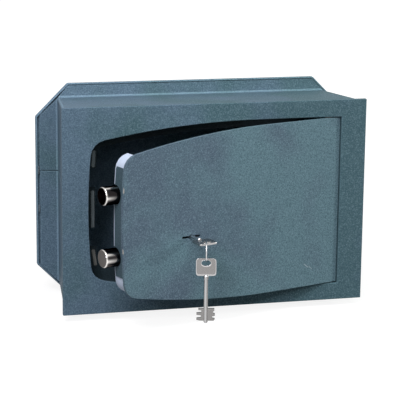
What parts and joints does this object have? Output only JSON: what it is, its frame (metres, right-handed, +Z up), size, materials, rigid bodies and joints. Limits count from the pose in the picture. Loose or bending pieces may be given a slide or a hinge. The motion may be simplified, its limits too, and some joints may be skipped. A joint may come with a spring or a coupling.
{
  "type": "wall safe",
  "caption": "In-wall safe with tapered steel body, anchoring wings, a door standing ajar on hidden pins, round locking bolts and double-bitted keys on a wire ring.",
  "frame": {"origin": "centre of the back plate's rear face, where the safe rests in its wall recess", "axes": "+X to the right of someone facing the door, +Y into the wall, +Z up; the door faces -Y"},
  "size_m": [0.383, 0.2333, 0.2592],
  "materials": {
    "hammered_paint": "finely hammered blue-grey powder coat",
    "dark_paint": "thin blue-grey coat in the shade",
    "white_enamel": "smooth white",
    "bright_chrome": "polished",
    "bare_steel": "plain",
    "zinc_plate": "zinc plated",
    "key_nickel": "satin nickel",
    "lever_brass": "pressed",
    "weld_metal": "rough, painted over"
  },
  "bodies": {
    "safe_body": {"front_plate": "hammered_paint", "body_upper_shell": "hammered_paint", "body_lower_shell": "hammered_paint", "seam_strip_left": "dark_paint", "seam_strip_right": "dark_paint", "back_plate": "hammered_paint", "weld_tack_left_upper": "weld_metal", "weld_tack_left_lower": "weld_metal", "weld_tack_right_upper": "weld_metal", "weld_tack_right_lower": "weld_metal", "stop_frame": "hammered_paint", "hinge_ear_upper": "dark_paint", "hinge_ear_lower": "dark_paint", "hinge_pin_upper": "bare_steel", "hinge_pin_lower": "bare_steel"},
    "door": {"door_plate": "hammered_paint", "door_rim": "white_enamel", "bolt_strip": "dark_paint", "hinge_sleeve_upper": "bare_steel", "hinge_sleeve_lower": "bare_steel", "lock_cover": "zinc_plate", "cover_post_1": "bare_steel", "cover_post_2": "bare_steel", "cover_post_3": "bare_steel", "cover_post_4": "bare_steel", "cover_screw_1": "zinc_plate", "cover_screw_2": "zinc_plate", "cover_screw_3": "zinc_plate", "cover_screw_4": "zinc_plate", "bolt_guide_upper": "bare_steel", "bolt_guide_lower": "bare_steel", "lock_case": "zinc_plate", "lever_1": "lever_brass", "lever_2": "lever_brass", "lever_3": "lever_brass", "lever_4": "lever_brass", "lever_5": "lever_brass", "lever_post_left": "bare_steel", "lever_post_right": "bare_steel"},
    "bolt_work": {"bolt_upper": "bright_chrome", "bolt_lower": "bright_chrome", "bolt_bar": "bare_steel", "bolt_nut_upper": "zinc_plate", "bolt_nut_lower": "zinc_plate", "lock_bolt": "bare_steel"},
    "rotor": {"key_rotor": "lever_brass"},
    "lock_key": {"key": "key_nickel"},
    "ring": {"key_ring": "key_nickel"},
    "hanging_key": {"spare_key": "key_nickel"}
  },
  "joints": [
    {"name": "door_swing", "type": "hinge", "parent": "safe_body", "child": "door", "pos_m": [0.1366, -0.119, 0], "axis": [0, 0, 1], "range_deg": [-11, 85]},
    {"name": "key_turn", "type": "hinge", "parent": "door", "child": "rotor", "pos_m": [-0.05022, -0.16782, -0.01952], "axis": [-0.309, 0.9511, 0], "range_deg": [0, 360]},
    {"name": "bolt_throw", "type": "slide", "parent": "door", "child": "bolt_work", "axis": [0.9511, 0.309, 0], "range_m": [0, 0.016]},
    {"name": "key_withdraw", "type": "slide", "parent": "rotor", "child": "lock_key", "axis": [0.309, -0.9511, 0], "range_m": [0, 0.055]},
    {"name": "ring_swing", "type": "hinge", "parent": "lock_key", "child": "ring", "pos_m": [-0.03594, -0.22243, -0.01952], "axis": [0.9694, -0.2453, 0], "range_deg": [-8, 2]},
    {"name": "spare_key_swing", "type": "hinge", "parent": "ring", "child": "hanging_key", "pos_m": [-0.03594, -0.22243, -0.03832], "axis": [0.2453, 0.9694, 0], "range_deg": [-30, 30]}
  ],
  "couplings": [
    {"joint": "key_turn", "follows": "bolt_throw", "rad_per_m": 392.69}
  ]
}
